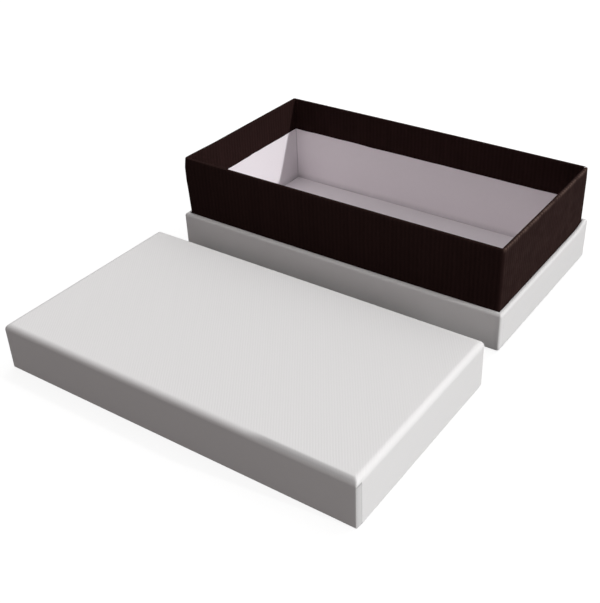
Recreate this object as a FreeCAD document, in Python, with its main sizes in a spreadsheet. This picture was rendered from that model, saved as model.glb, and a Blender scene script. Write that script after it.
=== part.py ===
# Rigid gift box: a shallow papered base, a tall papered neck frame standing in it,
# and a lift-off lid that lies beside the box with its rim on the table.
#
# Frame: millimetres, +Z up, X along the box's length, origin at the middle of the
# base's underside. The lid lies in front of the base, at -Y.

import FreeCAD, Part
import Sketcher
import os

# Driving sizes: name, millimetres, meaning
SIZES = [
    ("box_length", 200.0, "outside length of the base and of the lid"),
    ("box_width", 110.0, "outside width of the base and of the lid"),
    ("base_height", 22.0, "height of the papered base"),
    ("lid_height", 25.0, "height of the papered lid"),
    ("neck_stand", 34.0, "how far the neck frame stands above the rim of the base"),
    ("board", 2.0, "grey board of the base and of the lid"),
    ("neck_board", 1.5, "grey board of the neck frame"),
    ("wrap_paper", 0.2, "textured white paper round the base and the lid"),
    ("neck_paper", 0.15, "textured brown paper round the neck frame"),
    ("lining_paper", 0.1, "smooth white paper inside"),
    ("tape", 0.12, "paper tape that closes the corners of the board"),
    ("slip_gap", 0.2, "room round the neck frame, in the base and under the lid"),
    ("fold_radius", 2.8, "outside radius of the board where a wall folds up"),
    ("corner_radius", 0.8, "outside radius of the board at an upright corner"),
    ("rim_radius", 0.35, "softened edges along the rims of base and lid boards"),
    ("neck_corner_radius", 1.4, "outside radius of the neck board at an upright corner"),
    ("neck_rim_radius", 0.45, "softened edges along the rim of the neck board"),
    ("turn_in_stop", 3.0, "bare board left between the turned-in wrap and the panel"),
    ("hem_depth", 19.8, "how far the brown paper is turned down inside the neck"),
    ("lining_gap", 0.4, "bare board left round the smooth lining of a panel"),
    ("tape_leg", 16.0, "reach of a corner tape along each wall"),
    ("tape_stop", 1.2, "board left free above and below a corner tape"),
    ("lid_along", 4.5, "middle of the lid, along X from the middle of the base"),
    ("lid_apart", 26.0, "bare table between the front of the base and the lid"),
]

# Formulas shared by more than one piece
WALL = "(Sizes.board + 2 * Sizes.wrap_paper)"
INSIDE_LENGTH = f"(Sizes.box_length - 2 * {WALL})"
INSIDE_WIDTH = f"(Sizes.box_width - 2 * {WALL})"
BOARD_TOP_OF_PANEL = "(Sizes.wrap_paper + Sizes.board)"
NECK_LENGTH = f"({INSIDE_LENGTH} - 2 * Sizes.slip_gap)"
NECK_WIDTH = f"({INSIDE_WIDTH} - 2 * Sizes.slip_gap)"
NECK_WALL = "(Sizes.neck_paper + Sizes.neck_board + Sizes.lining_paper)"
NECK_FOOT = BOARD_TOP_OF_PANEL
NECK_TOP = "(Sizes.base_height + Sizes.neck_stand)"
LID_SETBACK = "(Sizes.box_width + Sizes.lid_apart)"

# Corner: name, side along X, side along Y (1 is the back) as the piece stands on the table
CORNERS = [("front_left", -1, -1), ("front_right", 1, -1), ("back_right", 1, 1), ("back_left", -1, 1)]
UPRIGHT = 1
TURNED_OVER = -1
TOLERANCE = 1e-4

doc = FreeCAD.newDocument("RigidGiftBox")


def fill_sheet():
    """Put every driving size in the sheet, with its meaning beside it."""
    sheet = doc.addObject("Spreadsheet::Sheet", "Sizes")
    for row, (alias, value, meaning) in enumerate(SIZES, start=1):
        sheet.set(f"A{row}", meaning)
        sheet.set(f"B{row}", str(value))
        sheet.setAlias(f"B{row}", alias)
    doc.recompute()


def stand_in_place(piece):
    """The base and the neck are drawn where they stand."""
    piece.Placement = FreeCAD.Placement()


def turn_over_beside_base(piece):
    """The lid is drawn as a tray, rim up, and is turned over onto the table in front."""
    half_turn = FreeCAD.Rotation(FreeCAD.Vector(1, 0, 0), 180)
    piece.Placement = FreeCAD.Placement(FreeCAD.Vector(0, 0, 0), half_turn)
    piece.setExpression("Placement.Base.x", "Sizes.lid_along")
    piece.setExpression("Placement.Base.y", f"-{LID_SETBACK}")
    piece.setExpression("Placement.Base.z", "Sizes.lid_height")


def new_body(name, seat):
    body = doc.addObject("PartDesign::Body", name)
    body.Label = name
    seat(body)
    return body


def level_sketch(body, name, level):
    """A sketch parallel to the body's XY plane, at a level above it."""
    planes = [item for item in body.Origin.OriginFeatures if item.Role == "XY_Plane"]
    sketch = body.newObject("Sketcher::SketchObject", name)
    sketch.AttachmentSupport = [(planes[0], "")]
    sketch.MapMode = "FlatFace"
    sketch.setExpression("AttachmentOffset.Base.z", level)
    return sketch


def add_rectangle(sketch, tag, left, right, front, back):
    """Four lines whose distances from the sketch's origin follow the sheet."""
    start = [FreeCAD.Vector(-20, -10, 0), FreeCAD.Vector(20, -10, 0)]
    start += [FreeCAD.Vector(20, 10, 0), FreeCAD.Vector(-20, 10, 0)]
    first = sketch.GeometryCount
    for side in range(4):
        sketch.addGeometry(Part.LineSegment(start[side], start[(side + 1) % 4]), False)
    for side in range(4):
        after = first + (side + 1) % 4
        sketch.addConstraint(Sketcher.Constraint("Coincident", first + side, 2, after, 1))
        kind = "Horizontal" if side % 2 == 0 else "Vertical"
        sketch.addConstraint(Sketcher.Constraint(kind, first + side))
    sides = [
        ("left", "DistanceX", 0, start[0].x, left),
        ("front", "DistanceY", 0, start[0].y, front),
        ("right", "DistanceX", 2, start[2].x, right),
        ("back", "DistanceY", 2, start[2].y, back),
    ]
    for side, kind, line, value, formula in sides:
        constraint = Sketcher.Constraint(kind, -1, 1, first + line, 1, value)
        index = sketch.addConstraint(constraint)
        sketch.renameConstraint(index, f"{tag}_{side}")
        sketch.setExpression(f"Constraints.{tag}_{side}", formula)


def add_centred_rectangle(sketch, tag, length, width):
    add_rectangle(sketch, tag, f"-{length} / 2", f"{length} / 2", f"-{width} / 2", f"{width} / 2")


def add_pad(body, sketch, height):
    pad = body.newObject("PartDesign::Pad", f"{body.Name}_pad")
    pad.Profile = sketch
    pad.setExpression("Length", height)
    doc.recompute()
    return pad


def add_pocket(body, length, width, level, depth):
    """Sink a centred rectangular hollow from a level down."""
    sketch = level_sketch(body, f"{body.Name}_hollow_sketch", level)
    add_centred_rectangle(sketch, "hollow", length, width)
    pocket = body.newObject("PartDesign::Pocket", f"{body.Name}_hollow")
    pocket.Profile = sketch
    pocket.setExpression("Length", depth)
    doc.recompute()
    return pocket


def add_fillet(body, name, chosen, radius):
    """Round the edges of the body's last feature that the chooser picks."""
    before = body.Tip
    box = before.Shape.BoundBox
    edges = [
        f"Edge{number}"
        for number, edge in enumerate(before.Shape.Edges, start=1)
        if chosen(edge.BoundBox, box)
    ]
    fillet = body.newObject("PartDesign::Fillet", f"{body.Name}_{name}")
    fillet.Base = (before, edges)
    fillet.setExpression("Radius", radius)
    doc.recompute()
    return fillet


def is_outer_upright(edge, box):
    """An upright edge at one of the four outer corners."""
    upright = edge.XLength < TOLERANCE and edge.YLength < TOLERANCE
    at_side = box.XMax - abs(edge.XMin) < TOLERANCE
    at_end = box.YMax - abs(edge.YMin) < TOLERANCE
    return upright and at_side and at_end


def is_inner_upright(edge, box):
    """An upright edge on the inside of a thin band."""
    upright = edge.XLength < TOLERANCE and edge.YLength < TOLERANCE
    return upright and not is_outer_upright(edge, box)


def is_at_bottom(edge, box):
    return edge.ZMax - box.ZMin < TOLERANCE


def is_at_rim(edge, box):
    return box.ZMax - edge.ZMin < TOLERANCE


def block(name, seat, length, width, bottom, top):
    """A plain centred block between two levels."""
    body = new_body(name, seat)
    sketch = level_sketch(body, f"{name}_sketch", bottom)
    add_centred_rectangle(sketch, "side", length, width)
    add_pad(body, sketch, f"{top} - {bottom}")
    return body


def ring(name, seat, length, width, wall, bottom, top):
    """A centred frame of four walls between two levels, open above and below."""
    body = new_body(name, seat)
    sketch = level_sketch(body, f"{name}_sketch", bottom)
    add_centred_rectangle(sketch, "outer", length, width)
    inner_length = f"({length} - 2 * {wall})"
    inner_width = f"({width} - 2 * {wall})"
    add_centred_rectangle(sketch, "inner", inner_length, inner_width)
    add_pad(body, sketch, f"{top} - {bottom}")
    return body


def tape_band(name, seat, length, width, corner_radius, bottom, top):
    """The thin band round a board that its corner tapes are stretches of."""
    band = ring(name, seat, length, width, "Sizes.tape", bottom, top)
    inner_radius = f"max({corner_radius} - Sizes.tape; Sizes.tape / 10)"
    add_fillet(band, "inner_uprights", is_inner_upright, inner_radius)
    add_fillet(band, "uprights", is_outer_upright, corner_radius)
    return band


def join(name, pieces):
    union = doc.addObject("Part::MultiFuse", name)
    union.Shapes = pieces
    union.Label = name
    return union


def cut(name, piece, tools):
    """The piece with the room of the tools taken out of it."""
    result = doc.addObject("Part::Cut", name)
    result.Base = piece
    result.Tool = join(f"{name}_tools", tools) if len(tools) > 1 else tools[0]
    result.Label = name
    doc.recompute()
    return result


def corner_tape(name, seat, band, length, width, side_x, side_y, bottom, top):
    """The stretch of a thin band round the board that lies at one corner."""
    body = new_body(f"{name}_reach", seat)
    sketch = level_sketch(body, f"{name}_sketch", bottom)
    near_x = f"{length} / 2 - Sizes.tape_leg"
    near_y = f"{width} / 2 - Sizes.tape_leg"
    far_x = f"{length} / 2 + Sizes.tape"
    far_y = f"{width} / 2 + Sizes.tape"
    left, right = (near_x, far_x) if side_x > 0 else (f"-({far_x})", f"-({near_x})")
    front, back = (near_y, far_y) if side_y > 0 else (f"-({far_y})", f"-({near_y})")
    add_rectangle(sketch, "reach", left, right, front, back)
    add_pad(body, sketch, f"{top} - {bottom}")
    tape = doc.addObject("Part::Common", name)
    tape.Base = band
    tape.Tool = body
    tape.Label = name
    return tape


def tray_board(prefix, seat, height, turned):
    """Grey board cut in one piece, its four walls folded up and taped at the corners."""
    length = "(Sizes.box_length - 2 * Sizes.wrap_paper)"
    width = "(Sizes.box_width - 2 * Sizes.wrap_paper)"
    rim = f"({height} - Sizes.wrap_paper)"
    folded = new_body(f"{prefix}_folded_board", seat)
    sketch = level_sketch(folded, f"{prefix}_board_sketch", "Sizes.wrap_paper")
    add_centred_rectangle(sketch, "outer", length, width)
    add_pad(folded, sketch, f"{rim} - Sizes.wrap_paper")
    add_fillet(folded, "uprights", is_outer_upright, "Sizes.corner_radius")
    add_fillet(folded, "folds", is_at_bottom, "Sizes.fold_radius")
    inner_length = f"({length} - 2 * Sizes.board)"
    inner_width = f"({width} - 2 * Sizes.board)"
    add_pocket(folded, inner_length, inner_width, rim, f"{rim} - {BOARD_TOP_OF_PANEL}")
    add_fillet(folded, "rim", is_at_rim, "Sizes.rim_radius")

    tape_bottom = "(Sizes.wrap_paper + Sizes.fold_radius + Sizes.tape_stop)"
    tape_top = f"({rim} - Sizes.rim_radius - Sizes.tape_stop)"
    band = tape_band(
        f"{prefix}_tape_band", seat, length, width, "Sizes.corner_radius", tape_bottom, tape_top,
    )
    tapes = []
    for place, side_x, side_y in CORNERS:
        name = f"{prefix}_corner_tape_{place}"
        drawn_side_y = side_y * turned
        tape = corner_tape(
            name, seat, band, length, width, side_x, drawn_side_y, tape_bottom, tape_top,
        )
        tapes.append(tape)
    board = cut(f"{prefix}_board", folded, tapes)
    return board, tapes


def tray_wrap(prefix, seat, height, board, tapes):
    """Textured paper glued all round the board and turned in over its rim."""
    form = new_body(f"{prefix}_wrap_form", seat)
    sketch = level_sketch(form, f"{prefix}_wrap_sketch", "0")
    add_centred_rectangle(sketch, "outer", "Sizes.box_length", "Sizes.box_width")
    add_pad(form, sketch, height)
    add_fillet(form, "uprights", is_outer_upright, "Sizes.corner_radius + Sizes.wrap_paper")
    add_fillet(form, "folds", is_at_bottom, "Sizes.fold_radius + Sizes.wrap_paper")
    depth = f"{height} - {BOARD_TOP_OF_PANEL}"
    add_pocket(form, INSIDE_LENGTH, INSIDE_WIDTH, height, depth)
    add_fillet(form, "rim", is_at_rim, "Sizes.rim_radius + Sizes.wrap_paper")
    hollow = block(
        f"{prefix}_bare_board_room", seat,
        f"({INSIDE_LENGTH} + 2 * Sizes.wrap_paper)", f"({INSIDE_WIDTH} + 2 * Sizes.wrap_paper)",
        BOARD_TOP_OF_PANEL, f"({BOARD_TOP_OF_PANEL} + Sizes.turn_in_stop)",
    )
    return cut(f"{prefix}_wrap", form, [board] + tapes + [hollow])


def panel_lining(prefix, seat, room_length, room_width):
    """Smooth paper on the inside of the panel, a little smaller than the room there."""
    return block(
        f"{prefix}_lining", seat,
        f"({room_length} - 2 * Sizes.lining_gap)", f"({room_width} - 2 * Sizes.lining_gap)",
        BOARD_TOP_OF_PANEL, f"({BOARD_TOP_OF_PANEL} + Sizes.lining_paper)",
    )


def tray(prefix, seat, height, turned, room_length, room_width):
    """Everything that is glued together into the base, or into the lid."""
    board, tapes = tray_board(prefix, seat, height, turned)
    wrap = tray_wrap(prefix, seat, height, board, tapes)
    return [board, wrap, panel_lining(prefix, seat, room_length, room_width)] + tapes


def base():
    """The tray that stands on the table; its panel is lined inside the neck."""
    room_length = f"({NECK_LENGTH} - 2 * {NECK_WALL})"
    room_width = f"({NECK_WIDTH} - 2 * {NECK_WALL})"
    return tray("base", stand_in_place, "Sizes.base_height", UPRIGHT, room_length, room_width)


def lid():
    """The same tray, a little higher, turned over beside the base."""
    room_length = f"({INSIDE_LENGTH} + 2 * Sizes.wrap_paper)"
    room_width = f"({INSIDE_WIDTH} + 2 * Sizes.wrap_paper)"
    seat = turn_over_beside_base
    return tray("lid", seat, "Sizes.lid_height", TURNED_OVER, room_length, room_width)


def neck():
    """A frame of thinner board that stands in the base and guides the lid."""
    seat = stand_in_place
    length = f"({NECK_LENGTH} - 2 * Sizes.neck_paper)"
    width = f"({NECK_WIDTH} - 2 * Sizes.neck_paper)"
    rim = f"({NECK_TOP} - Sizes.neck_paper)"
    folded = ring("neck_folded_board", seat, length, width, "Sizes.neck_board", NECK_FOOT, rim)
    add_fillet(folded, "uprights", is_outer_upright, "Sizes.neck_corner_radius")
    add_fillet(folded, "rim", is_at_rim, "Sizes.neck_rim_radius")

    tape_bottom = f"({NECK_FOOT} + Sizes.tape_stop)"
    tape_top = f"({rim} - Sizes.neck_rim_radius - Sizes.tape_stop)"
    band = tape_band(
        "neck_tape_band", seat, length, width, "Sizes.neck_corner_radius", tape_bottom, tape_top,
    )
    place, side_x, side_y = CORNERS[3]
    tape = corner_tape(
        "neck_joint_tape", seat, band, length, width, side_x, side_y, tape_bottom, tape_top,
    )
    board = cut("neck_board", folded, [tape])

    lined_length = f"({length} - 2 * Sizes.neck_board)"
    lined_width = f"({width} - 2 * Sizes.neck_board)"
    lining_top = f"({rim} - Sizes.neck_rim_radius)"
    lining = ring("neck_lining", seat, lined_length, lined_width, "Sizes.lining_paper", NECK_FOOT, lining_top)

    wall_with_hem = f"({NECK_WALL} + Sizes.neck_paper)"
    form = ring("neck_wrap_form", seat, NECK_LENGTH, NECK_WIDTH, wall_with_hem, NECK_FOOT, NECK_TOP)
    add_fillet(form, "uprights", is_outer_upright, "Sizes.neck_corner_radius + Sizes.neck_paper")
    add_fillet(form, "rim", is_at_rim, "Sizes.neck_rim_radius + Sizes.neck_paper")
    below_hem = block(
        "neck_room_below_hem", seat,
        f"({lined_length} - 2 * Sizes.lining_paper)", f"({lined_width} - 2 * Sizes.lining_paper)",
        NECK_FOOT, f"({NECK_TOP} - Sizes.hem_depth)",
    )
    wrap = cut("neck_wrap", form, [board, tape, lining, below_hem])
    return [board, wrap, lining, tape]


def check_document(pieces):
    """Stop before anything is written if a feature failed or a piece is not sound."""
    for item in doc.Objects:
        if "Invalid" in item.State or "Error" in item.State:
            raise RuntimeError(f"{item.Label} did not build: {item.State}")
        if item.TypeId == "PartDesign::Pocket":
            removed = item.BaseFeature.Shape.Volume - item.Shape.Volume
            if removed < TOLERANCE:
                raise RuntimeError(f"{item.Label} cuts nothing")
    for piece in pieces:
        shape = piece.Shape
        if shape.isNull() or not shape.isValid() or len(shape.Solids) != 1:
            raise RuntimeError(f"{piece.Label} is not one sound solid")


def write_pieces(pieces):
    os.makedirs("parts", exist_ok=True)
    for piece in pieces:
        piece.Shape.exportStep(f"parts/{piece.Label}.step")
        box = piece.Shape.BoundBox
        corner = f"{box.XMin:.2f} {box.YMin:.2f} {box.ZMin:.2f}"
        far = f"{box.XMax:.2f} {box.YMax:.2f} {box.ZMax:.2f}"
        print(f"{piece.Label}: {corner} to {far} mm, {piece.Shape.Volume:.1f} mm3")


fill_sheet()
PIECES = base() + neck() + lid()
doc.recompute()
check_document(PIECES)
write_pieces(PIECES)
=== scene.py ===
import math

import bmesh
import bpy
from mathutils import Matrix, Vector, noise


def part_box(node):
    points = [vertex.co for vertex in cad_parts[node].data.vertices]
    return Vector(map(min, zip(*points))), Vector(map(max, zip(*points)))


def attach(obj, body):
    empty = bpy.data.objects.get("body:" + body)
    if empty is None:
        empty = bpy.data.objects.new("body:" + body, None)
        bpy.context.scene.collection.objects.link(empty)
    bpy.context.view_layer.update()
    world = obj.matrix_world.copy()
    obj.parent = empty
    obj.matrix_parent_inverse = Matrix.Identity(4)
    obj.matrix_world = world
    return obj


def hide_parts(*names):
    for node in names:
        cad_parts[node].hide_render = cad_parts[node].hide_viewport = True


# Rigid gift box in textured paper: the papered base with its tall brown neck, and the lid
# lying in front of it. Metres, +Z up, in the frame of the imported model.

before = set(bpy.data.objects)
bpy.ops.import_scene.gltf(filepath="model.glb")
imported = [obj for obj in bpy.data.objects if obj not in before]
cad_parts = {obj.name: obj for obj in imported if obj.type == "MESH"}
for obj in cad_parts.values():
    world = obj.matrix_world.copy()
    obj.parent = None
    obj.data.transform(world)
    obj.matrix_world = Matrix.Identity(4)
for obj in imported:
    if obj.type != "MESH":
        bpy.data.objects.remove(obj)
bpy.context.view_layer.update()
MM = 0.001

# Sides of a box in the order in which its sections are drawn: front, right, back and left
SIDE_NORMALS = ((0, -1), (1, 0), (0, 1), (-1, 0))

# Trays of base and lid: insets count inwards from the outside, heights from the panel's outside
TRAY_WALL = 2.4 * MM              # board with paper on both sides
TRAY_PAPER = 0.2 * MM
TRAY_FOLD = 3.0 * MM              # radius of the fold beside the panel; a tray may draw it tighter
TRAY_INNER_RIM = 0.35 * MM        # radius along the inner edge of the rim
TURN_IN_STOP = 3.0 * MM           # bare board between the turned-in paper and the panel
PANEL_TOP = 2.2 * MM              # inside face of the panel's board
SHARPEST_CORNER = 0.15 * MM
CORNER_FULLER = 0.4 * MM          # the upright corners are rounder near the panel
SEAM_FROM_CORNER = 3.5 * MM       # edge of the short side's flap, from the upright corner
TAPE_LEG = 16.0 * MM
TAPE_OUTSIDE = 0.08 * MM          # the tapes lie against the board, under the paper's face
TAB_SINKS = 1.7                   # how much deeper the tab lies at the corner than at the seam
RIPPLE = 0.04 * MM                # hand-laid paper is nowhere quite flat
TRAY_RIPPLES = 60.0               # ripples in a metre
TRAY_RIPPLE_SHIFT = 90.0          # so that base and lid differ

# Marks of use on the trays, and painted shade
RIM_RUBBED = 0.3
RAISED = 2.2 * MM                 # the base's back right corner stands up
RAISED_REACH = 14.0 * MM
EDGE_PAINTED_SHADE = 0.08                  # painted shade on the base's front, beside its right corner
TAB_PAINTED_SHADE = 0.22                   # painted shade on the tab at the lid's front right corner
PLEAT_PAINTED_SHADE = 0.42                 # painted shade in the pleat where that tab meets the fold
FRONT_FOLD_PAINTED_SHADE = 0.3                # painted shade on the lid's front fold, along its right part
FOLD_SHADE_FROM = 44.0 * MM
FOLD_SHADE_RISE = 12.0 * MM

# Neck: a springy frame of thin board
NECK_WALL = 1.9 * MM              # neck board with all its papers
NECK_PAPER = 0.15 * MM
NECK_RIM = 0.45 * MM              # radius along both edges of the rim
NECK_CORNER = 1.2 * MM
NECK_SHARPEST = 0.12 * MM
NECK_ROUNDER = 0.9 * MM           # two corners that spring open are rounder near the rim
NECK_BOW_LONG = 0.35 * MM
NECK_BOW_SHORT = 0.15 * MM
NECK_RIPPLES = 45.0
HEM_DEPTH = 19.8 * MM
HEM_UNEVEN = 0.25 * MM
HEM_WAVES = 90.0
HEM_NICK = 0.5 * MM
NICK_PLACE = 6.0 * MM             # along the left wall
LAP_FROM_CORNER = 9.0 * MM        # the brown paper's end laps over its start, on the back
LAP_STEP = 0.12 * MM
LAP_REACH = 25.0 * MM
LINING_CORNER = 0.45 * MM
LINING_PAPER = 0.1 * MM
CURL = 0.3 * MM                   # the white lining curls in where it meets the floor
CURL_HEIGHT = 4.5 * MM

# How far the neck's front left corner springs outwards, by height above the base's rim, in mm
SPRING = [(0.0, 0.35), (8.0, 0.5), (14.0, 0.8), (20.0, 1.35), (28.0, 1.5), (32.0, 1.2), (34.0, 0.9)]
SPRING_REACH = 30.0 * MM

# Marks of use on the neck, with painted highlight and painted shade
CHIPPED = 2.0                     # bare paper shows here; places that are only rubbed stay below 1
LEFT_RIM_RUBBED_AND_LIT = 0.4                 # the rim on the left, rubbed and painted as highlight, where the right counts as 1
FRONT_RIM_RUBBED_AND_LIT = 0.05               # the rim at the front and back, rubbed and painted as highlight
RIGHT_WALL_RUBBED_AND_LIT = 0.08          # rubbing and painted highlight on the crests of the ribs on the lit right wall, all the way down
CURL_PAINTED_SHADE = 0.2                   # painted shade on the lining where it meets the floor
CORNER_FOLD_PAINTED_SHADE = 0.3                   # painted shade in the lining's fold in the back left corner
CORNER_FOOT_PAINTED_SHADE = 0.12                  # painted shade on the lining round the foot of that fold

# Colours
WHITE = (0.82, 0.812, 0.81)
BROWN = (0.0200, 0.0098, 0.0090)
# Rubbed brown, which on the neck also serves as painted highlight
BROWN_WORN_AND_LIT = (0.115, 0.075, 0.064)
LINING = (0.85, 0.805, 0.835)
BARE_PAPER = (0.70, 0.66, 0.62)
BOARD = (0.46, 0.44, 0.40)
TAPE = (0.72, 0.63, 0.50)


def smoothstep(low, high, value):
    """0 below low, 1 above high, and a smooth rise between them."""
    share = min(max((value - low) / (high - low), 0.0), 1.0)
    return share * share * (3.0 - 2.0 * share)


# Sweeps: every piece of paper or board is a profile carried round a rectangle

class Station:
    """One place on a rounded rectangle: where it is, and the outward direction there."""

    def __init__(self, x, y, normal_x, normal_y):
        self.x = x
        self.y = y
        self.normal_x = normal_x
        self.normal_y = normal_y


class Outline:
    """A rounded rectangle whose sections have the same stations at every size.

    Each side may have seams, as places along the side from its middle. A seam is two stations
    close together, so that one sheet can end there.
    """

    ARC_STEPS = 6
    STEP = 2.5 * MM
    LIP = 0.03 * MM               # between the two stations of a seam
    CORNER_ROOM = 2.0 * MM        # left out where the steps along a side are counted
    SHORTEST = 0.1 * MM

    def __init__(self, half_x, half_y, seams):
        self.half_x = half_x
        self.half_y = half_y
        self.seams = seams
        self.counts = []
        for side in range(4):
            half_free = (half_x if side % 2 == 0 else half_y) - self.CORNER_ROOM
            edges = self.edges(side, -half_free, half_free)
            spans = [edges[n + 1] - edges[n] for n in range(0, len(edges), 2)]
            self.counts.append([max(3, round(span / self.STEP)) for span in spans])

    def edges(self, side, first, last):
        """Ends of the pieces between seams along one side."""
        edges = [first]
        for seam in self.seams[side]:
            seam = min(max(seam, first + self.SHORTEST), last - self.SHORTEST)
            edges += [seam - 0.5 * self.LIP, seam + 0.5 * self.LIP]
        edges.append(last)
        return edges

    def places(self, side, first, last):
        """Places of the stations along one side, from its middle."""
        edges = self.edges(side, first, last)
        places = []
        for number, count in enumerate(self.counts[side]):
            low, high = edges[2 * number], edges[2 * number + 1]
            places += [low + (high - low) * step / count for step in range(count + 1)]
        return places

    def section(self, inset, radii):
        """Stations anticlockwise from the front left.

        The radii are those of the corners at the end of the front, right, back and left side.
        """
        half = (self.half_x - inset, self.half_y - inset)
        stations = []
        for side, (normal_x, normal_y) in enumerate(SIDE_NORMALS):
            along_x, along_y = -normal_y, normal_x
            out = half[1 - side % 2]
            reach = half[side % 2]
            radius = radii[side]
            for place in self.places(side, radii[side - 1] - reach, reach - radius):
                x = normal_x * out + along_x * place
                y = normal_y * out + along_y * place
                stations.append(Station(x, y, normal_x, normal_y))
            centre_x = normal_x * (out - radius) + along_x * (reach - radius)
            centre_y = normal_y * (out - radius) + along_y * (reach - radius)
            for step in range(1, self.ARC_STEPS):
                angle = 0.5 * math.pi * step / self.ARC_STEPS
                arc_x = normal_x * math.cos(angle) + along_x * math.sin(angle)
                arc_y = normal_y * math.cos(angle) + along_y * math.sin(angle)
                x = centre_x + radius * arc_x
                y = centre_y + radius * arc_y
                stations.append(Station(x, y, arc_x, arc_y))
        return stations


def arc_points(centre_inset, centre_z, radius, start, end, steps):
    """Profile points on an arc; an angle of 0 looks inwards and 90 degrees looks up."""
    points = []
    for step in range(steps + 1):
        angle = math.radians(start + (end - start) * step / steps)
        points.append((centre_inset + radius * math.cos(angle), centre_z + radius * math.sin(angle)))
    return points


class Sweep:
    """Builds a closed skin: sections round a rectangle, one for each point of a profile."""

    def __init__(self, shape, outline, corner, place):
        self.shape = shape
        self.outline = outline
        self.corner = corner
        self.place = place
        self.sheet = shape.loops.layers.uv.new("sheet")
        self.wear_and_highlight = shape.verts.layers.float.new("wear_and_highlight")
        self.painted_shade = shape.verts.layers.float.new("painted_shade")
        self.rings = []

    def add_ring(self, inset, z, reach, marks=None):
        """A section: inset from the outer face, height, and distance along the sheet.

        marks(station, inset, z) says how worn the paper is there, partly as painted highlight, and how
        much shade is painted on it.
        """
        stations = self.outline.section(inset, self.corner(inset, z))
        vertices = []
        for station in stations:
            vertex = self.shape.verts.new(self.place(station, inset, z))
            if marks:
                vertex[self.wear_and_highlight], vertex[self.painted_shade] = marks(station, inset, z)
            vertices.append(vertex)
        self.rings.append((vertices, stations, reach))

    def add_profiles(self, front, back, marks, reach):
        """Sections along the side that shows, and back along the side that is glued."""
        for number, (inset, z) in enumerate(front):
            if number:
                last = front[number - 1]
                reach += math.hypot(inset - last[0], z - last[1])
            self.add_ring(inset, z, reach, marks)
        for inset, z in back:
            self.add_ring(inset, z, reach)

    def strip(self, first, second):
        """Quads between two sections, with the sheet's own coordinates on each corner."""
        vertices_a, stations_a, reach_a = self.rings[first]
        vertices_b, stations_b, reach_b = self.rings[second]
        count = len(vertices_a)
        for number in range(count):
            after = (number + 1) % count
            corners = [vertices_a[number], vertices_a[after], vertices_b[after], vertices_b[number]]
            face = self.shape.faces.new(corners)
            places = [
                (stations_a[number], reach_a),
                (stations_a[after], reach_a),
                (stations_b[after], reach_b),
                (stations_b[number], reach_b),
            ]
            normal_x = stations_a[number].normal_x + stations_a[after].normal_x
            normal_y = stations_a[number].normal_y + stations_a[after].normal_y
            for loop, (station, reach) in zip(face.loops, places):
                loop[self.sheet].uv = self.on_sheet(station, reach, normal_x, normal_y)

    def on_sheet(self, station, reach, normal_x, normal_y):
        """Unfolded place of a station: the walls' flaps carry on from the panel's sheet."""
        if abs(normal_x) > abs(normal_y):
            half = self.outline.half_x
            return (math.copysign(half + reach, normal_x), station.y)
        half = self.outline.half_y
        return (station.x, math.copysign(half + reach, normal_y))

    def close(self, ring, upwards):
        """Closes a section with a flat face."""
        vertices, stations, _ = self.rings[ring]
        if not upwards:
            vertices = list(reversed(vertices))
            stations = list(reversed(stations))
        face = self.shape.faces.new(vertices)
        for loop, station in zip(face.loops, stations):
            loop[self.sheet].uv = (station.x, station.y)


class StripSweep(Sweep):
    """The neck's papers are long strips, so their coordinates run round the frame."""

    SHORT_START = 0.3
    LONG_START = 0.6

    def on_sheet(self, station, reach, normal_x, normal_y):
        if abs(normal_x) > abs(normal_y):
            return (math.copysign(self.SHORT_START + station.y, normal_x), reach)
        return (math.copysign(self.LONG_START - station.x, normal_y), reach)


def sweep_open(shape, outline, corner, place, front, back, marks=None):
    """A tray-shaped skin, with a flat face at the end of each profile."""
    sweep = Sweep(shape, outline, corner, place)
    sweep.add_profiles(front, back, marks, -front[0][0])
    total = len(sweep.rings)
    for first in range(total - 1):
        sweep.strip(first, first + 1)
    sweep.close(0, False)
    sweep.close(total - 1, True)


def sweep_round(shape, outline, corner, place, front, back, marks=None):
    """A ring-shaped skin, whose two profiles meet at both ends."""
    sweep = StripSweep(shape, outline, corner, place)
    sweep.add_profiles(front, back, marks, 0.0)
    total = len(sweep.rings)
    for first in range(total):
        sweep.strip(first, (first + 1) % total)


def join_rows(shape, first, second):
    """Quads between two rows of vertices."""
    for n in range(len(first) - 1):
        shape.faces.new((first[n], first[n + 1], second[n + 1], second[n]))


SHARP_EDGE = math.radians(38)


def new_piece(name, build, material, body, node):
    """Makes a mesh object from a bmesh that build() fills, and hides the node that it replaces."""
    mesh = bpy.data.meshes.new(name)
    shape = bmesh.new()
    build(shape)
    bmesh.ops.recalc_face_normals(shape, faces=shape.faces)
    shape.normal_update()
    for edge in shape.edges:
        edge.smooth = edge.calc_face_angle(0.0) < SHARP_EDGE
    for face in shape.faces:
        face.smooth = True
    shape.to_mesh(mesh)
    shape.free()
    mesh.materials.append(material)
    piece = bpy.data.objects.new(name, mesh)
    bpy.context.scene.collection.objects.link(piece)
    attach(piece, body)
    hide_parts(node)


# Materials

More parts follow.
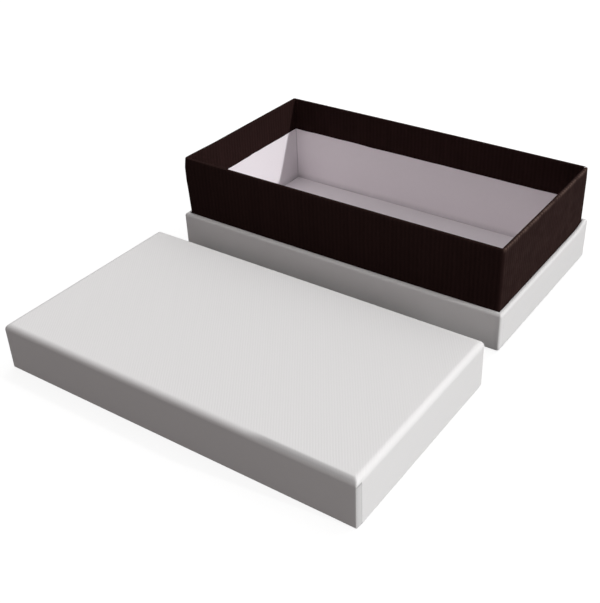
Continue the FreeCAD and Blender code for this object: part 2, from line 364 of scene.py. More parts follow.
class Nodes:
    """A small helper that writes a node tree."""

    def __init__(self, tree):
        self.tree = tree
        self.tree.nodes.clear()

    def add(self, kind, **settings):
        node = self.tree.nodes.new(kind)
        for key, value in settings.items():
            setattr(node, key, value)
        return node

    def link(self, source, target):
        self.tree.links.new(source, target)

    def feed(self, value, target):
        """Links a socket, or sets a plain number or colour."""
        if isinstance(value, (int, float, tuple)):
            target.default_value = value
        else:
            self.link(value, target)

    def math(self, operation, *values):
        node = self.add("ShaderNodeMath", operation=operation)
        for value, target in zip(values, node.inputs):
            self.feed(value, target)
        return node.outputs[0]

    def noise(self, vector, scale, detail, roughness=0.5):
        node = self.add("ShaderNodeTexNoise", noise_dimensions="3D")
        self.link(vector, node.inputs["Vector"])
        node.inputs["Scale"].default_value = scale
        node.inputs["Detail"].default_value = detail
        node.inputs["Roughness"].default_value = roughness
        return node.outputs["Fac"]

    def stretch(self, vector, scale, turn=0.0):
        """A vector scaled along each axis, and turned in its plane."""
        node = self.add("ShaderNodeMapping")
        self.link(vector, node.inputs["Vector"])
        node.inputs["Scale"].default_value = scale
        node.inputs["Rotation"].default_value = (0.0, 0.0, turn)
        return node.outputs["Vector"]

    def mix_colour(self, share, first, second):
        """Sockets 6 and 7 of a Mix node are its colours, and output 2 is the mixed colour."""
        node = self.add("ShaderNodeMix", data_type="RGBA")
        self.feed(share, node.inputs[0])
        self.feed(first, node.inputs[6])
        self.feed(second, node.inputs[7])
        return node.outputs[2]

    def tinted(self, colour, tone):
        """One colour, made darker or lighter by a tone around 1."""
        node = self.add("ShaderNodeVectorMath", operation="SCALE")
        node.inputs[0].default_value = colour
        self.link(tone, node.inputs["Scale"])
        return node.outputs["Vector"]

    def ramp(self, share, low, low_colour, high, high_colour):
        """A run from one colour to another."""
        node = self.add("ShaderNodeValToRGB")
        self.link(share, node.inputs["Fac"])
        first, second = node.color_ramp.elements
        first.position = low
        first.color = rgba(low_colour)
        second.position = high
        second.color = rgba(high_colour)
        return node.outputs["Color"]

    def attribute(self, name):
        return self.add("ShaderNodeAttribute", attribute_name=name).outputs["Fac"]

    def bump(self, height, distance):
        node = self.add("ShaderNodeBump")
        node.inputs["Strength"].default_value = 1.0
        node.inputs["Distance"].default_value = distance
        self.link(height, node.inputs["Height"])
        return node.outputs["Normal"]


def rgba(colour):
    return (colour[0], colour[1], colour[2], 1.0)


def shade(colour, factor):
    return tuple(channel * factor for channel in colour)


def new_material(name):
    material = bpy.data.materials.new(name)
    material.use_nodes = True
    nodes = Nodes(material.node_tree)
    output = nodes.add("ShaderNodeOutputMaterial")
    shader = nodes.add("ShaderNodeBsdfPrincipled")
    nodes.link(shader.outputs["BSDF"], output.inputs["Surface"])
    return material, nodes, shader


def finish_shader(nodes, shader, colour, normal, roughness, gloss):
    nodes.link(colour, shader.inputs["Base Color"])
    nodes.link(normal, shader.inputs["Normal"])
    nodes.link(roughness, shader.inputs["Roughness"])
    shader.inputs["Specular IOR Level"].default_value = gloss


def darkened(nodes, tone):
    """Lowers a tone where shade is painted on the paper."""
    return nodes.math("MULTIPLY", tone, nodes.math("SUBTRACT", 1.0, nodes.attribute("painted_shade")))


def rib_wave(nodes, sheet, turned, period):
    """Fine ribs, from 0 in a groove to 1 on a crest, which wander a little across the sheet."""
    across = nodes.add("ShaderNodeSeparateXYZ")
    nodes.link(turned, across.inputs["Vector"])
    wander = nodes.noise(sheet, 90.0, 2.0)
    drift = nodes.math("MULTIPLY", wander, 0.35 * period)
    phase = nodes.math("ADD", across.outputs["X"], drift)
    phase = nodes.math("MULTIPLY", phase, 2.0 * math.pi / period)
    return nodes.math("MULTIPLY_ADD", nodes.math("SINE", phase), 0.5, 0.5)


def worn_and_lit_share(nodes, place, rib, bundle):
    """How far the paper takes its worn colour, which is rubbing and, on the neck's lit side, also
    painted highlight: in patches, and most on the crests of the ribs.
    """
    patches = nodes.noise(nodes.stretch(place, (1.0, 1.0, 1.6)), 120.0, 4.0, 0.65)
    patches = nodes.math("MULTIPLY_ADD", patches, 3.2, -1.05)
    crests = nodes.math("MULTIPLY_ADD", nodes.math("MULTIPLY", rib, bundle), 1.3, 0.6)
    rubbed_and_lit = nodes.math("MULTIPLY", nodes.math("MULTIPLY", patches, crests), nodes.attribute("wear_and_highlight"))
    clamp = nodes.add("ShaderNodeClamp")
    nodes.link(rubbed_and_lit, clamp.inputs["Value"])
    return clamp.outputs["Result"]


def ribbed_paper(
    name, colour, worn_and_lit_colour, rib_turn, rib_period, rib_depth, contrast, roughness, gloss,
):
    """Embossed paper with fine ribs: relief, painted shade in the grooves and where marked, and worn
    edges that are partly painted highlight.
    """
    material, nodes, shader = new_material(name)
    sheet = nodes.add("ShaderNodeUVMap", uv_map="sheet").outputs["UV"]
    place = nodes.add("ShaderNodeTexCoord").outputs["Object"]
    turned = nodes.stretch(sheet, (1.0, 1.0, 1.0), rib_turn)
    rib = rib_wave(nodes, sheet, turned, rib_period)

    # Fibres that run along the ribs, bundles of ribs, and a soft cloudiness of the sheet
    fibre = nodes.noise(nodes.stretch(turned, (1400.0, 260.0, 1.0)), 1.0, 3.0, 0.6)
    bundle = nodes.noise(nodes.stretch(turned, (0.55 / rib_period, 18.0, 1.0)), 1.0, 2.0, 0.6)
    cloud = nodes.noise(place, 24.0, 4.0, 0.55)
    # The grooves between the ribs are painted darker as shade; fibres, bundles and cloud vary the tone
    # at random
    tone = nodes.math("MULTIPLY", rib, contrast)
    tone = nodes.math("MULTIPLY_ADD", fibre, contrast, tone)
    tone = nodes.math("MULTIPLY_ADD", cloud, contrast, tone)
    tone = nodes.math("MULTIPLY_ADD", bundle, 2.0 * contrast, tone)
    tone = nodes.math("ADD", tone, 1.0 - 2.5 * contrast)

    finish = nodes.tinted(colour, darkened(nodes, tone))
    # Worn colour: rubbing, and on the neck's lit right side also painted highlight
    finish = nodes.mix_colour(worn_and_lit_share(nodes, place, rib, bundle), finish, rgba(worn_and_lit_colour))
    chipped = nodes.math("GREATER_THAN", nodes.attribute("wear_and_highlight"), 0.5 * (1.0 + CHIPPED))
    finish = nodes.mix_colour(chipped, finish, rgba(BARE_PAPER))
    normal = nodes.bump(nodes.math("MULTIPLY_ADD", fibre, 0.45, rib), rib_depth)
    uneven = nodes.math("MULTIPLY_ADD", fibre, 0.12, roughness - 0.06)
    finish_shader(nodes, shader, finish, normal, uneven, gloss)
    return material


def smooth_paper(name, colour, roughness):
    """Plain lining paper: faint fibres, a soft cloudiness, hardly any relief, and painted shade where
    marked.
    """
    material, nodes, shader = new_material(name)
    place = nodes.add("ShaderNodeTexCoord").outputs["Object"]
    fibre = nodes.noise(nodes.stretch(place, (700.0, 700.0, 420.0)), 1.0, 4.0, 0.65)
    cloud = nodes.noise(place, 18.0, 3.0)
    tone = nodes.math("MULTIPLY", fibre, 0.03)
    tone = nodes.math("MULTIPLY_ADD", cloud, 0.05, tone)
    tone = nodes.math("ADD", tone, 0.96)
    finish = nodes.tinted(colour, darkened(nodes, tone))
    uneven = nodes.math("MULTIPLY_ADD", cloud, 0.1, roughness - 0.05)
    finish_shader(nodes, shader, finish, nodes.bump(fibre, 0.02 * MM), uneven, 0.2)
    return material


def grey_board(name, colour):
    """Raw grey board: matted fibres and dark specks of recycled paper."""
    material, nodes, shader = new_material(name)
    place = nodes.add("ShaderNodeTexCoord").outputs["Object"]
    fibre = nodes.noise(nodes.stretch(place, (900.0, 500.0, 700.0)), 1.0, 5.0, 0.7)
    matted = nodes.ramp(fibre, 0.3, shade(colour, 0.78), 0.72, shade(colour, 1.16))
    speck = nodes.noise(place, 1500.0, 2.0)
    dark = nodes.math("MULTIPLY", nodes.math("GREATER_THAN", speck, 0.68), 0.4)
    finish = nodes.mix_colour(dark, matted, rgba(shade(colour, 0.45)))
    uneven = nodes.math("MULTIPLY_ADD", fibre, 0.1, 0.85)
    finish_shader(nodes, shader, finish, nodes.bump(fibre, 0.06 * MM), uneven, 0.15)
    return material


def kraft_tape(name, colour):
    """Thin gummed tape with streaks along it."""
    material, nodes, shader = new_material(name)
    place = nodes.add("ShaderNodeTexCoord").outputs["Object"]
    streak = nodes.noise(nodes.stretch(place, (1200.0, 1200.0, 90.0)), 1.0, 4.0, 0.6)
    finish = nodes.ramp(streak, 0.3, shade(colour, 0.85), 0.7, shade(colour, 1.08))
    uneven = nodes.math("MULTIPLY_ADD", streak, 0.15, 0.6)
    finish_shader(nodes, shader, finish, nodes.bump(streak, 0.02 * MM), uneven, 0.5)
    return material


white_wrap = ribbed_paper(
    "white_wrap_paper", WHITE, shade(WHITE, 1.08),
    rib_turn=math.radians(34.6), rib_period=1.15 * MM, rib_depth=0.017 * MM,
    contrast=0.011, roughness=0.62, gloss=0.18,
)
brown_wrap = ribbed_paper(
    "brown_wrap_paper", BROWN, BROWN_WORN_AND_LIT,
    rib_turn=0.0, rib_period=2.4 * MM, rib_depth=0.06 * MM,
    contrast=0.20, roughness=0.8, gloss=0.011,
)
white_lining = smooth_paper("white_lining_paper", LINING, 0.55)
board_grey = grey_board("grey_board", BOARD)
tape_kraft = kraft_tape("corner_tape", TAPE)


# Base and lid

class Tray:
    """A papered tray, standing on its panel. The lid is the same form turned over about X.

    The radii of its upright corners are given after its front, right, back and left side.
    """

    CORNER_NAMES = ["front_right", "back_right", "back_left", "front_left"]
    TURNED_SIDES = [1, 0, 3, 2]   # the corners' order once the tray is turned over
    TAPE_ROWS = 4

    def __init__(self, prefix, body, turned, corners, rim, fold, bow, seam_step):
        low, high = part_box(prefix + "_wrap")
        self.prefix = prefix
        self.body = body
        self.turned = turned
        self.corners = corners
        self.rim = rim
        self.fold = fold
        self.bow = bow
        self.seam_step = seam_step
        self.centre = 0.5 * (low + high)
        self.height = high.z - low.z
        self.half_x = 0.5 * (high.x - low.x)
        self.half_y = 0.5 * (high.y - low.y)
        seam = self.half_y - SEAM_FROM_CORNER
        self.outline = Outline(self.half_x, self.half_y, ((), (-seam, seam), (), (-seam, seam)))

    def corner(self, inset, z):
        """Radii of the upright corners of any layer."""
        if inset > TRAY_INNER_RIM and z > TRAY_FOLD:
            return [max(radius - inset, SHARPEST_CORNER) for radius in self.corners]
        fuller = CORNER_FULLER * smoothstep(0.0, TRAY_FOLD, TRAY_FOLD - z)
        return [radius - min(inset, 0.5 * radius) + fuller for radius in self.corners]

    def place(self, station, inset, z):
        """Puts a station of any layer in its place in the model's frame."""
        x = station.x
        y = station.y
        setback = self.tab_setback(station, inset, z)
        if inset < TRAY_FOLD and z < TRAY_FOLD:
            # A tighter fold is drawn out towards the box's own edge
            tighter = self.fold / TRAY_FOLD
            drawn = inset * (1.0 - tighter)
            x += drawn * station.normal_x
            y += drawn * station.normal_y
            z *= tighter
        if station.normal_y < 0.0:
            # The front wall bows outwards towards the rim
            along = math.cos(0.5 * math.pi * min(abs(x) / self.half_x, 1.0))
            y -= self.bow * along * smoothstep(0.0, self.height, z) * station.normal_y ** 2
        if not self.turned:
            z += self.raised(station, z)
        x -= setback
        if 0.0 < inset < 0.8 * TRAY_FOLD or z > TRAY_FOLD:
            shift = Vector((self.centre.y, 0.0, 0.0)) * TRAY_RIPPLE_SHIFT
            ripple = RIPPLE * noise.noise(Vector((x, y, 2.0 * z)) * TRAY_RIPPLES + shift)
            x += ripple * station.normal_x
            y += ripple * station.normal_y
        if self.turned:
            return Vector((self.centre.x + x, self.centre.y - y, self.height - z))
        return Vector((self.centre.x + x, self.centre.y + y, z))

    def tab_setback(self, station, inset, z):
        """On the short walls the tab behind the seam lies lower than the flap over it."""
        from_corner = self.half_y - abs(station.y)
        if from_corner >= SEAM_FROM_CORNER:
            return 0.0
        share = max(1.0 - from_corner / SEAM_FROM_CORNER, 0.0)
        setback = self.seam_step * (1.0 + TAB_SINKS * share * share)
        above_fold = smoothstep(0.9 * MM, TRAY_FOLD + 0.8 * MM, z)
        outer = 1.0 - smoothstep(0.9 * MM, 2.3 * MM, inset)
        return setback * above_fold * outer * station.normal_x * abs(station.normal_x)

    def raised(self, station, z):
        """How far the back right corner stands up."""
        from_tip = math.hypot(self.half_x - station.x, self.half_y - station.y)
        near = 1.0 - smoothstep(0.0, RAISED_REACH, from_tip)
        return RAISED * smoothstep(0.5 * self.height, self.height, z) * near

    def marks(self, station, inset, z):
        """How rubbed the paper is, and how much shade is painted on it."""
        near_rim = smoothstep(self.height - 1.4 * MM, self.height, z)
        wear_and_highlight = RIM_RUBBED * near_rim * (1.0 - smoothstep(0.6 * MM, 1.6 * MM, inset))
        if self.turned:
            return wear_and_highlight, self.lid_painted_shade(station, inset, z)
        # A narrow strip of painted shade on the base's front beside its right corner
        beside_corner = station.normal_y < -0.9 and self.half_x - station.x < 2.0 * MM
        return wear_and_highlight, EDGE_PAINTED_SHADE if beside_corner else 0.0

    def lid_painted_shade(self, station, inset, z):
        """Painted shade on the lid's front right tab, on the pleat where it meets the fold, and on the
        right part of its front fold.
        """
        from_corner = self.half_y - station.y
        # The right part of the front fold is painted darker as shade
        if station.normal_y > 0.3 and z < TRAY_FOLD:
            right_part = smoothstep(FOLD_SHADE_FROM, FOLD_SHADE_FROM + FOLD_SHADE_RISE, station.x)
            on_fold = smoothstep(0.0, 1.0 * MM, inset) * (1.0 - smoothstep(2.0 * MM, 3.3 * MM, inset))
            return FRONT_FOLD_PAINTED_SHADE * right_part * station.normal_y * on_fold
        # The tab beside the front right corner, and its pleat, are painted darker as shade
        if station.normal_x > 0.6 and from_corner < SEAM_FROM_CORNER and z > 0.8 * TRAY_FOLD:
            if z < 1.02 * TRAY_FOLD:
                return PLEAT_PAINTED_SHADE
            return TAB_PAINTED_SHADE * (0.6 + 0.4 * (1.0 - from_corner / SEAM_FROM_CORNER))
        return 0.0

    def paper(self, shape):
        """The wrap: from the panel up the wall, over the rim and in, and back along its glued side."""
        height = self.height
        inner_rim = TRAY_INNER_RIM
        front = [(TRAY_FOLD + 6.0 * MM, 0.0), (TRAY_FOLD + 0.4 * MM, 0.0)]
        front += reversed(arc_points(TRAY_FOLD, TRAY_FOLD, TRAY_FOLD, 180, 270, 10))
        for level in (TRAY_FOLD + 0.5 * MM, 0.35 * height, 0.6 * height):
            front.append((0.0, level))
        for below_rim in (1.6 * MM, 0.3 * MM):
            front.append((0.0, height - self.rim - below_rim))
        front += arc_points(self.rim, height - self.rim, self.rim, 180, 90, 6)
        front += arc_points(TRAY_WALL - inner_rim, height - inner_rim, inner_rim, 90, 0, 5)
        for level in (height - inner_rim - 0.3 * MM, 0.5 * height, PANEL_TOP + TURN_IN_STOP):
            front.append((TRAY_WALL, level))
        back = [self.glued_side(inset, z) for inset, z in reversed(front)]
        sweep_open(shape, self.outline, self.corner, self.place, front, back, self.marks)

    def glued_side(self, inset, z):
        """A point of the paper's face, one thickness of paper deeper."""
        if inset >= TRAY_WALL - TRAY_INNER_RIM and z > PANEL_TOP:
            inset = max(inset - TRAY_PAPER, TRAY_WALL - TRAY_INNER_RIM)
        elif inset < TRAY_FOLD:
            inset = min(inset + TRAY_PAPER, TRAY_FOLD)
        if z < TRAY_FOLD:
            z = z + TRAY_PAPER
        elif z > self.height - TRAY_INNER_RIM:
            z = z - TRAY_PAPER
        return inset, z

    def board(self, shape):
        """The folded board: its outer face up to the rim, and its inner face down to the panel."""
        height = self.height
        inner = TRAY_WALL - TRAY_PAPER
        front = [(TRAY_FOLD + 4.0 * MM, TRAY_PAPER)]
        front += reversed(arc_points(TRAY_FOLD, TRAY_FOLD, TRAY_FOLD - TRAY_PAPER, 180, 270, 8))
        front.append((TRAY_PAPER, 0.5 * height))
        front += arc_points(self.rim, height - self.rim, self.rim - TRAY_PAPER, 180, 90, 4)
        back = [
            (TRAY_WALL - TRAY_INNER_RIM, height - TRAY_PAPER),
            (inner, height - TRAY_INNER_RIM),
            (inner, 0.5 * height),
            (inner, PANEL_TOP + 0.6 * MM),
            (inner + 0.2 * MM, PANEL_TOP + 0.2 * MM),
            (inner + 0.6 * MM, PANEL_TOP),
        ]
        sweep_open(shape, self.outline, self.corner, self.place, front, back)

    def tape_stations(self, stations, side):
        """Numbers of the stations round one upright corner, in order."""
        first, second = SIDE_NORMALS[side], SIDE_NORMALS[(side + 1) % 4]
        facing_x = first[0] + second[0]
        facing_y = first[1] + second[1]
        chosen = []
        for number, station in enumerate(stations):
            along_x = abs(station.x - facing_x * self.half_x)
            along_y = abs(station.y - facing_y * self.half_y)
            facing = station.normal_x * facing_x + station.normal_y * facing_y
            if max(along_x, along_y) < TAPE_LEG and facing > 0.5:
                chosen.append(number)
        breaks = [n for n in range(1, len(chosen)) if chosen[n] - chosen[n - 1] > 1]
        if breaks:
            chosen = chosen[breaks[0]:] + chosen[:breaks[0]]
        return chosen

    def tape(self, shape, side, low, high):
        """A tape round the board at the upright corner after the given side."""
        grids = []
        chosen = None
        for inset in (TAPE_OUTSIDE, TRAY_PAPER):
            stations = self.outline.section(inset, self.corner(inset, high))
            if chosen is None:
                chosen = self.tape_stations(stations, side)
            grid = []
            for row in range(self.TAPE_ROWS + 1):
                z = low + (high - low) * row / self.TAPE_ROWS
                grid.append([shape.verts.new(self.place(stations[n], inset, z)) for n in chosen])
            grids.append(grid)
        outer, inner = grids
        for row in range(self.TAPE_ROWS):
            join_rows(shape, outer[row], outer[row + 1])
            join_rows(shape, inner[row], inner[row + 1])
            for end in (0, -1):
                ends = (outer[row][end], outer[row + 1][end], inner[row + 1][end], inner[row][end])
                shape.faces.new(ends)
        join_rows(shape, outer[0], inner[0])
        join_rows(shape, outer[-1], inner[-1])

    def add_tapes(self):
        for side, corner_name in enumerate(self.CORNER_NAMES):
            node = self.prefix + "_corner_tape_" + corner_name
            low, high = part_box(node)
            levels = (low.z, high.z)
            if self.turned:
                side = self.TURNED_SIDES[side]
                levels = (self.height - high.z, self.height - low.z)

            def tape(shape, side=side, levels=levels):
                self.tape(shape, side, *levels)

            new_piece(node + "_paper", tape, tape_kraft, self.body, node)

    def add(self):
        """Paper, board and corner tapes."""
        wrap = self.prefix + "_wrap"
        board = self.prefix + "_board"
        new_piece(wrap + "_paper", self.paper, white_wrap, self.body, wrap)
        new_piece(board + "_folded", self.board, board_grey, self.body, board)
        self.add_tapes()


Tray(
    "base", "box", turned=False,
    corners=(1.2 * MM, 1.2 * MM, 1.0 * MM, 0.9 * MM),
    rim=1.7 * MM, fold=2.0 * MM, bow=0.5 * MM, seam_step=0.03 * MM,
).add()
Tray(
    "lid", "lid", turned=True,
    corners=(1.9 * MM, 0.9 * MM, 0.8 * MM, 0.8 * MM),
    rim=0.55 * MM, fold=3.0 * MM, bow=0.0, seam_step=0.12 * MM,
).add()


# The neck: board, brown paper outside and over the rim, a deep hem, and white lining

NECK_LOW, NECK_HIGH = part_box("neck_wrap")
NECK_HALF_X = 0.5 * (NECK_HIGH.x - NECK_LOW.x)
NECK_HALF_Y = 0.5 * (NECK_HIGH.y - NECK_LOW.y)
NECK_FOOT = NECK_LOW.z
NECK_TOP = NECK_HIGH.z
BOARD_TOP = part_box("neck_board")[1].z
LINING_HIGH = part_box("neck_lining")[1]
FLOOR_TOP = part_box("base_lining")[1].z
BASE_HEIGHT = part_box("base_wrap")[1].z
HEM_BOTTOM = NECK_TOP - HEM_DEPTH
LAP_PLACE = NECK_HALF_X - LAP_FROM_CORNER
NECK_OUTLINE = Outline(NECK_HALF_X, NECK_HALF_Y, ((), (), (LAP_PLACE,), ()))

# All layers of the neck have sections at the same heights, so that they spring open together
NECK_LEVELS = [BASE_HEIGHT + above * MM for above, outwards in SPRING[:-2]]


def neck_corner(inset, z):
    """Radii of the neck's upright corners."""
    rounder = NECK_ROUNDER * smoothstep(NECK_TOP - 8.0 * MM, NECK_TOP, z)
    sharp = max(NECK_CORNER - inset, NECK_SHARPEST)
    sprung = max(NECK_CORNER + rounder - inset, NECK_SHARPEST)
    return [sharp, sprung, sharp, sprung]


def lining_corner(inset, z):
    return [LINING_CORNER] * 4


def spring(z):
    """How far the front left corner springs outwards at a height."""
    above = (z - BASE_HEIGHT) / MM
    if above <= 0.0:
        return 0.0
    for (low, first), (high, second) in zip(SPRING, SPRING[1:]):
        if above <= high:
            return (first + (second - first) * (above - low) / (high - low)) * MM
    return SPRING[-1][1] * MM


def neck_place(station, inset, z):
    """Puts a station of any layer of the neck in its place; its walls bow where nothing holds them."""
    free = smoothstep(BASE_HEIGHT, NECK_TOP, z)
    along_x = math.cos(0.5 * math.pi * min(abs(station.x) / NECK_HALF_X, 1.0))
    along_y = math.cos(0.5 * math.pi * min(abs(station.y) / NECK_HALF_Y, 1.0))
    x = station.x + NECK_BOW_SHORT * along_y * free * station.normal_x * abs(station.normal_x)
    y = station.y + NECK_BOW_LONG * along_x * free * station.normal_y * abs(station.normal_y)
    from_corner = math.hypot(station.x + NECK_HALF_X, station.y + NECK_HALF_Y)
    x -= spring(z) * (1.0 - smoothstep(0.0, SPRING_REACH, from_corner))
    if inset < 0.1 * MM:
        past_lap = LAP_PLACE - station.x
        if station.normal_y > 0.99 and past_lap > 0.0:
            y += LAP_STEP * (1.0 - smoothstep(0.0, LAP_REACH, past_lap))
        ripple = RIPPLE * noise.noise(Vector((station.x, station.y, 1.5 * z)) * NECK_RIPPLES)
        x += ripple * station.normal_x
        y += ripple * station.normal_y
    if inset > NECK_WALL - 0.2 * MM and z < HEM_BOTTOM + 0.1 * MM:
        # The hem's cut edge is not quite straight, and has a nick on the left wall
        z += HEM_UNEVEN * noise.noise(Vector((station.x * HEM_WAVES, station.y * HEM_WAVES, 3.0)))
        if station.normal_x < -0.9 and abs(station.y - NICK_PLACE) < 2.0 * MM:
            z += HEM_NICK
    return Vector((x, y, z))


def neck_marks(station, inset, z):
    """The rim is rubbed light, with painted highlight, most on the lit right side, and chipped at the
    back right corner.
    """
    on_rim = z > NECK_TOP - 0.25 * MM and inset > 0.4 * MM
    if on_rim and 0.05 < station.normal_x < 0.75 and station.normal_y > 0.3:
        return CHIPPED, 0.0
    side = FRONT_RIM_RUBBED_AND_LIT
    if station.normal_x > 0.5:
        side = 1.0
    elif station.normal_x < -0.5:
        side = LEFT_RIM_RUBBED_AND_LIT
    near_rim = smoothstep(NECK_TOP - 1.5 * MM, NECK_TOP - 0.2 * MM, z)
    rubbed_and_lit = near_rim * (1.0 - smoothstep(0.25 * MM, 0.9 * MM, inset)) * side
    # The crests of the ribs on the lit right wall take some worn colour, partly rubbing and partly
    # painted highlight
    if station.normal_x > 0.9 and inset < 0.1 * MM:
        rubbed_and_lit = max(rubbed_and_lit, RIGHT_WALL_RUBBED_AND_LIT)
    return rubbed_and_lit, 0.0


def neck_paper(shape):
    """Brown paper: up the outside, over the rim and down inside as a hem."""
    shoulder = NECK_TOP - NECK_RIM
    front = [(0.0, z) for z in [NECK_FOOT] + NECK_LEVELS]
    front += [(0.0, shoulder - 1.8 * MM), (0.0, shoulder - 0.3 * MM)]
    front += arc_points(NECK_RIM, shoulder, NECK_RIM, 180, 90, 6)
    front += arc_points(NECK_WALL - NECK_RIM, shoulder, NECK_RIM, 90, 0, 6)
    front.append((NECK_WALL, shoulder - 0.3 * MM))
    front += [(NECK_WALL, z) for z in reversed(NECK_LEVELS) if z > HEM_BOTTOM + 2.0 * MM]
    front += [(NECK_WALL, HEM_BOTTOM + 0.2 * MM), (NECK_WALL, HEM_BOTTOM)]
    back = []
    for inset, z in reversed(front):
        inset += -NECK_PAPER if inset > 0.5 * NECK_WALL else NECK_PAPER
        if z > shoulder:
            z -= NECK_PAPER
        back.append((inset, z))
    sweep_round(shape, NECK_OUTLINE, neck_corner, neck_place, front, back, neck_marks)


def neck_board(shape):
    """The strip of board between the neck's papers, with its upper edges broken."""
    outer = NECK_PAPER
    inner = NECK_WALL - NECK_PAPER - LINING_PAPER
    edge = 0.3 * MM
    levels = [NECK_FOOT] + NECK_LEVELS + [BOARD_TOP - edge]
    front = [(outer, z) for z in levels] + [(outer + edge, BOARD_TOP)]
    back = [(inner - edge, BOARD_TOP)] + [(inner, z) for z in reversed(levels)]
    sweep_round(shape, NECK_OUTLINE, neck_corner, neck_place, front, back)


def lining_place(station, inset, z):
    """The lining follows the neck, and curls in where it meets the floor."""
    where = neck_place(station, inset, z)
    inward = CURL * (1.0 - smoothstep(0.0, CURL_HEIGHT, z - FLOOR_TOP))
    where.x -= inward * station.normal_x
    where.y -= inward * station.normal_y
    return where


def lining_marks(station, inset, z):
    """Painted shade in the fold of the back left corner, round that fold's foot, and where the paper
    meets the floor.
    """
    if station.normal_x < -0.1 and station.normal_y > 0.1:
        return 0.0, CORNER_FOLD_PAINTED_SHADE
    above = z - FLOOR_TOP
    away = math.hypot(station.x + NECK_HALF_X, NECK_HALF_Y - station.y)
    painted_shade = CURL_PAINTED_SHADE * (1.0 - smoothstep(0.0, CURL_HEIGHT, above))
    painted_shade += CORNER_FOOT_PAINTED_SHADE * (1.0 - smoothstep(2.0 * MM, 12.0 * MM, math.hypot(away, above)))
    return 0.0, painted_shade


def neck_lining(shape):
    """Smooth paper inside the frame."""
    levels = [FLOOR_TOP + CURL_HEIGHT * share for share in (0.0, 0.2, 0.4, 0.6, 0.8, 1.0)]
    levels += NECK_LEVELS + [LINING_HIGH.z]
    inset = NECK_HALF_X - LINING_HIGH.x
    front = [(inset + LINING_PAPER, z) for z in levels]
    back = [(inset, z) for z in reversed(levels)]
    sweep_round(shape, NECK_OUTLINE, lining_corner, lining_place, front, back, lining_marks)


new_piece("neck_wrap_paper", neck_paper, brown_wrap, "box", "neck_wrap")
new_piece("neck_board_strip", neck_board, board_grey, "box", "neck_board")
new_piece("neck_lining_paper", neck_lining, white_lining, "box", "neck_lining")

# Nodes that keep their CAD shape and get a finished surface
KEPT_NODES = {
    "base_lining": white_lining,
    "lid_lining": white_lining,
    "neck_joint_tape": tape_kraft,
}
for name, material in KEPT_NODES.items():
    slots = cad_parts[name].data.materials
    slots.clear()
    slots.append(material)


# Floor, light and camera

FLOOR_SIZE = 40.0
FLOOR_DROP = 0.05 * MM
FLOOR_SHOWN = (0.26, 0.26, 0.26)  # takes the object's shadow
FLOOR_GLOW = 0.84                 # lifts what the camera sees to white
FLOOR_BOUNCE = (0.085, 0.08, 0.078)

WHITE_LIGHT = (1.0, 1.0, 1.0)


def seen_directly(nodes):
    """1 for rays of the camera, reflections and transmission, which show the background."""
    path = nodes.add("ShaderNodeLightPath")
    seen = nodes.math("MAXIMUM", path.outputs["Is Camera Ray"], path.outputs["Is Transmission Ray"])
    return nodes.math("MAXIMUM", seen, path.outputs["Is Glossy Ray"])


def added(nodes, first, second):
    """The sum of two shaders."""
    node = nodes.add("ShaderNodeAddShader")
    nodes.link(first, node.inputs[0])
    nodes.link(second, node.inputs[1])
    return node.outputs["Shader"]


def mixed(nodes, share, first, second):
    """One shader where the share is 0 and the other where it is 1."""
    node = nodes.add("ShaderNodeMixShader")
    nodes.link(share, node.inputs["Fac"])
    nodes.link(first, node.inputs[1])
    nodes.link(second, node.inputs[2])
    return node.outputs["Shader"]


def floor_material():
    """White with the object's soft shadow as it is seen, and dark for the light that it bounces."""
    material = bpy.data.materials.new("floor")
    material.use_nodes = True
    nodes = Nodes(material.node_tree)
    output = nodes.add("ShaderNodeOutputMaterial")
    shown = nodes.add("ShaderNodeBsdfDiffuse")
    shown.inputs["Color"].default_value = rgba(FLOOR_SHOWN)
    glow = nodes.add("ShaderNodeEmission")
    glow.inputs["Color"].default_value = rgba(WHITE_LIGHT)
    glow.inputs["Strength"].default_value = FLOOR_GLOW
    both = added(nodes, shown.outputs["BSDF"], glow.outputs["Emission"])
    bounce = nodes.add("ShaderNodeBsdfDiffuse")
    bounce.inputs["Color"].default_value = rgba(FLOOR_BOUNCE)
    surface = mixed(nodes, seen_directly(nodes), bounce.outputs["BSDF"], both)
    nodes.link(surface, output.inputs["Surface"])
    return material


def add_floor():
    """A plain floor just under the box."""
    mesh = bpy.data.meshes.new("floor")
    half = 0.5 * FLOOR_SIZE
    corners = [(-half, -half, 0.0), (half, -half, 0.0), (half, half, 0.0), (-half, half, 0.0)]
    mesh.from_pydata(corners, [], [(0, 1, 2, 3)])
    mesh.materials.append(floor_material())
    floor = bpy.data.objects.new("floor", mesh)
    floor.location.z = -FLOOR_DROP
    bpy.context.scene.collection.objects.link(floor)


def toward(azimuth, tilt):
    """Unit vector tilted from straight up towards an azimuth, counted from +X; in degrees."""
    turn = math.radians(azimuth)
    lean = math.radians(tilt)
    return (math.sin(lean) * math.cos(turn), math.sin(lean) * math.sin(turn), math.cos(lean))


# Soft patches of the sky: direction, how tightly it gathers, strength and tint
SKY_PATCHES = [
    (toward(0, 0), 5.0, 0.96, WHITE_LIGHT),
    (toward(90, 45), 6.0, 2.06, WHITE_LIGHT),
    (toward(265, 57), 30.0, 1.9, (1.0, 0.88, 0.88)),
]


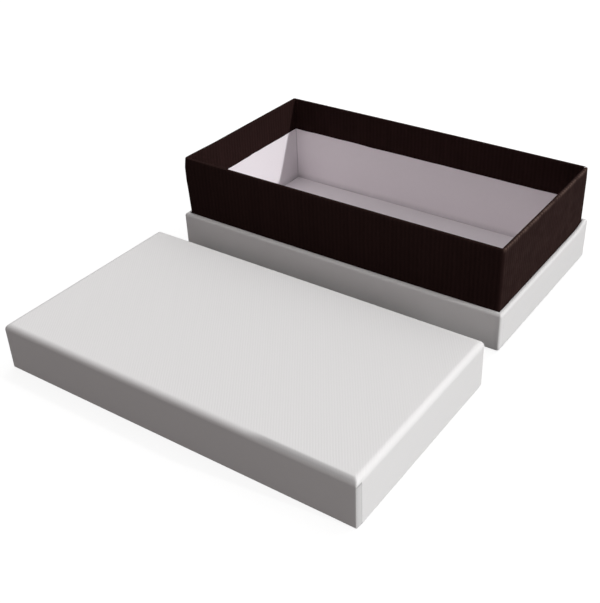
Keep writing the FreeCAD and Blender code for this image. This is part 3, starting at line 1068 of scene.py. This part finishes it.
def light_world():
    """A soft sky, brightest overhead, behind and in front of the box. The camera sees plain white."""
    world = bpy.data.worlds.new("studio")
    bpy.context.scene.world = world
    world.use_nodes = True
    nodes = Nodes(world.node_tree)
    output = nodes.add("ShaderNodeOutputWorld")
    direction = nodes.add("ShaderNodeTexCoord").outputs["Generated"]
    total = None
    for centre, power, strength, tint in SKY_PATCHES:
        facing = nodes.add("ShaderNodeVectorMath", operation="DOT_PRODUCT")
        nodes.link(direction, facing.inputs[0])
        facing.inputs[1].default_value = centre
        near = nodes.math("MAXIMUM", facing.outputs["Value"], 0.0)
        glow = nodes.math("MULTIPLY", nodes.math("POWER", near, power), strength)
        patch = nodes.add("ShaderNodeBackground")
        patch.inputs["Color"].default_value = rgba(tint)
        nodes.link(glow, patch.inputs["Strength"])
        light = patch.outputs["Background"]
        total = added(nodes, total, light) if total else light
    white = nodes.add("ShaderNodeBackground")
    white.inputs["Color"].default_value = rgba(WHITE_LIGHT)
    white.inputs["Strength"].default_value = 1.0
    surface = mixed(nodes, seen_directly(nodes), total, white.outputs["Background"])
    nodes.link(surface, output.inputs["Surface"])


KEY_TOWARDS = Vector((3.9, 0.42, 1.0))
KEY_STRENGTH = 0.578
KEY_SPREAD = math.radians(1.0)


def add_key_light():
    """A low key light from the right, a little behind the box."""
    lamp = bpy.data.lights.new("key", "SUN")
    lamp.energy = KEY_STRENGTH * math.pi
    lamp.angle = KEY_SPREAD
    key = bpy.data.objects.new("key", lamp)
    key.rotation_euler = KEY_TOWARDS.to_track_quat("Z", "Y").to_euler()
    bpy.context.scene.collection.objects.link(key)


SIDE_LAMP_PLACE = Vector((0.55, -0.30, 0.12))
SIDE_LAMP_TARGET = Vector((0.0, -0.07, 0.0))
SIDE_LAMP_SIZE = 0.12
SIDE_LAMP_WATTS = 0.34


def add_side_lamp():
    """A weak lamp near the right end, which lifts the ends of both trays a little."""
    lamp = bpy.data.lights.new("side", "AREA")
    lamp.size = SIDE_LAMP_SIZE
    lamp.energy = SIDE_LAMP_WATTS
    side = bpy.data.objects.new("side", lamp)
    side.location = SIDE_LAMP_PLACE
    side.rotation_euler = (SIDE_LAMP_PLACE - SIDE_LAMP_TARGET).to_track_quat("Z", "Y").to_euler()
    bpy.context.scene.collection.objects.link(side)


# The camera's place, from the photograph: angles in degrees, target on the floor in metres
VIEW_AZIMUTH = 34.6419
VIEW_ELEVATION = 33.2326
VIEW_ROLL = -1.4988
VIEW_TARGET = Vector((0.00404, -0.06044, 0.0))
VIEW_DISTANCE = 0.5220
PICTURE_WIDTH = 600
PICTURE_HEIGHT = 603
FOCAL_PIXELS = 976.54
CENTRE_PIXEL = (330.0, 301.5)
SENSOR = 36.0
NEAREST = 0.01


def add_camera():
    """The photograph's camera."""
    azimuth = math.radians(VIEW_AZIMUTH)
    elevation = math.radians(VIEW_ELEVATION)
    roll = math.radians(VIEW_ROLL)
    back = Vector((
        math.sin(azimuth) * math.cos(elevation),
        -math.cos(azimuth) * math.cos(elevation),
        math.sin(elevation),
    ))
    level = Vector((math.cos(azimuth), math.sin(azimuth), 0.0))
    rise = back.cross(level)
    right = level * math.cos(roll) + rise * math.sin(roll)
    up = rise * math.cos(roll) - level * math.sin(roll)
    place = VIEW_TARGET + back * VIEW_DISTANCE
    lens = bpy.data.cameras.new("camera")
    lens.sensor_width = SENSOR
    lens.lens = FOCAL_PIXELS / PICTURE_HEIGHT * SENSOR
    lens.shift_x = (0.5 * PICTURE_WIDTH - CENTRE_PIXEL[0]) / PICTURE_HEIGHT
    lens.shift_y = (CENTRE_PIXEL[1] - 0.5 * PICTURE_HEIGHT) / PICTURE_HEIGHT
    lens.clip_start = NEAREST
    camera = bpy.data.objects.new("camera", lens)
    turn = Matrix((right, up, back)).transposed().to_4x4()
    camera.matrix_world = Matrix.Translation(place) @ turn
    bpy.context.scene.collection.objects.link(camera)
    bpy.context.scene.camera = camera


add_floor()
light_world()
add_key_light()
add_side_lamp()
add_camera()
bpy.context.scene.view_settings.view_transform = "Standard"
